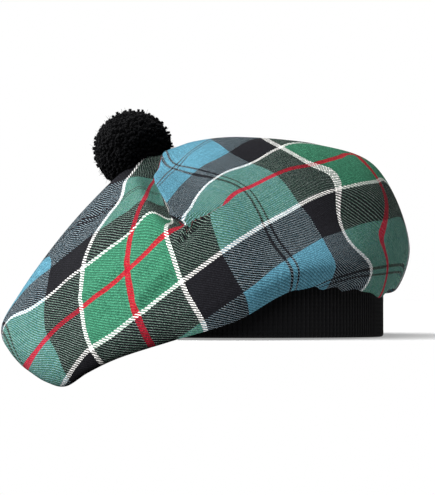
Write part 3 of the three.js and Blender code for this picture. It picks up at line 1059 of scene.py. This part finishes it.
def cut_wool_yarn():
    """Black wool yarn, cut and fluffed out: deep black between the ends, a little dull light on the plies."""
    material, tree = new_material("black_cut_wool_yarn")
    place = add_node(tree, "ShaderNodeTexCoord").outputs["Object"]
    patch = add_node(tree, "ShaderNodeTexNoise", {"Vector": place, "Scale": 1 / (2.2 * MM), "Detail": 3.0})
    add_surface(tree, {
        "Base Color": two_colours(tree, patch, "#010102", "#060609"),
        "Roughness": 1.0,
        "Specular IOR Level": 0.1,
        "Sheen Weight": 0.03,
    })
    return material


def studio_white():
    """Matt white acrylic table top, lit a little from below, which keeps shadows on it pale."""
    material, tree = new_material("studio_white_acrylic")
    add_surface(tree, {
        "Base Color": linear("#c2c2c2"),
        "Roughness": 0.9,
        "Emission Color": (1, 1, 1, 1),
        "Emission Strength": 0.35,
    })
    return material


def make_crown():
    """The crown as one cloth wall, with its threads counted and its folds told in its UV maps."""
    points, smooth, spans, lean = crown_points()
    plan = smooth[..., 0] + 1j * smooth[..., 1]
    flop, dome = thread_counts(points, smooth, spans, lean)
    folds = np.stack(dome_side(plan, FOOT_REACH), axis=-1)
    fields = {"flop_threads": flop, "dome_threads": dome, "folds": folds}
    corners = np.concatenate([points[:1, 0], points[1:].reshape(-1, 3)])
    first = 1 + np.arange(CROWN_COLUMNS)
    fan = np.stack([np.zeros(CROWN_COLUMNS, int), first, np.roll(first, -1)], axis=-1)
    quads = grid_faces(CROWN_RINGS - 1, CROWN_COLUMNS, 1, False)
    crown = mesh_piece(
        "tartan_crown", corners, fan.tolist() + quads.tolist(), worsted_tartan(), "crown",
    )
    for name, field in fields.items():
        write_uv(crown, name, np.concatenate([field[:1, 0], field[1:].reshape(-1, 2)]))
    wall = crown.modifiers.new("cloth", "SOLIDIFY")
    wall.thickness = CLOTH_WALL * MM
    wall.offset = -1
    return crown


def make_headband():
    """The headband as one ring, with its ribs and stitches counted in its UV map."""
    points = headband_points()
    steps, columns, _ = points.shape
    corners = points.reshape(-1, 3)
    faces = grid_faces(steps, columns, 0, True).tolist()
    band = mesh_piece("ribbed_headband", corners, faces, ribbed_wool_knit(), "headband")
    # The count runs back to its start in the one narrow column of faces that closes the ring.
    rib = np.broadcast_to(np.arange(columns) / COLUMNS_PER_RIB + 0.5, (steps, columns))
    counts = np.stack([rib, points[..., 2] / STITCH_HEIGHT], axis=-1)
    write_uv(band, "stitches", counts.reshape(-1, 2))


def make_pompom():
    """The pompom as one piece of yarn ends and loose fibres, its middle off the seat along its lean."""
    centre = SEAT + POMPOM_SEAT_DEPTH * unit(POMPOM_LEAN)
    paths, radii, way, tip = pompom_paths(centre)
    corners, walls, caps = tubes(paths, radii, YARN_SIDES)
    hair_paths, hair_radii = fibre_paths(centre, way, tip)
    hair_corners, hair_walls, hair_caps = tubes(hair_paths, hair_radii, FIBRE_SIDES)
    faces = walls.tolist() + caps.tolist()
    faces += (hair_walls + len(corners)).tolist() + (hair_caps + len(corners)).tolist()
    corners = np.concatenate([corners, hair_corners])
    mesh_piece("yarn_pompom", corners, faces, cut_wool_yarn(), "pompom")


def make_camera():
    """The camera of the photograph."""
    camera = add_object("camera", bpy.data.cameras.new("camera"))
    camera.data.sensor_width = SENSOR_MM
    camera.data.lens = SENSOR_MM * FOCAL_PIXELS / IMAGE_HEIGHT
    camera.location = CAMERA_PLACE * MM
    camera.rotation_euler = (math.pi / 2 + CAMERA_TILT, 0, 0)
    bpy.context.scene.camera = camera


def make_studio():
    """A white sheet under the band, an even white surround and two soft lights from the left."""
    corners = [(x, y, TABLE_TOP + TABLE_SLOPE * y) for y in TABLE_ALONG for x in TABLE_ACROSS]
    mesh = bpy.data.meshes.new("table")
    mesh.from_pydata((np.array(corners) * MM).tolist(), [], [(0, 1, 3, 2)])
    mesh.materials.append(studio_white())
    table = add_object("table", mesh)
    world = bpy.data.worlds.new("studio")
    bpy.context.scene.world = world
    world.use_nodes = True
    tree = world.node_tree
    tree.nodes.clear()
    path = add_node(tree, "ShaderNodeLightPath")
    seen = remap(tree, path, result=(SURROUND_LIGHT, 1.0))
    surround = add_node(tree, "ShaderNodeBackground", {"Color": (1, 1, 1, 1), "Strength": seen})
    add_node(tree, "ShaderNodeOutputWorld", {0: surround})
    for name, way, softness, strength in STUDIO_LIGHTS:
        light = bpy.data.lights.new(name, "SUN")
        light.angle = math.radians(softness)
        light.energy = strength
        lamp = add_object(name, light)
        lamp.rotation_euler = (-Vector(way)).to_track_quat("-Z", "Y").to_euler()
    bpy.context.scene.view_settings.view_transform = "Standard"


make_camera()
crown = make_crown()
make_headband()
make_pompom()
make_studio()
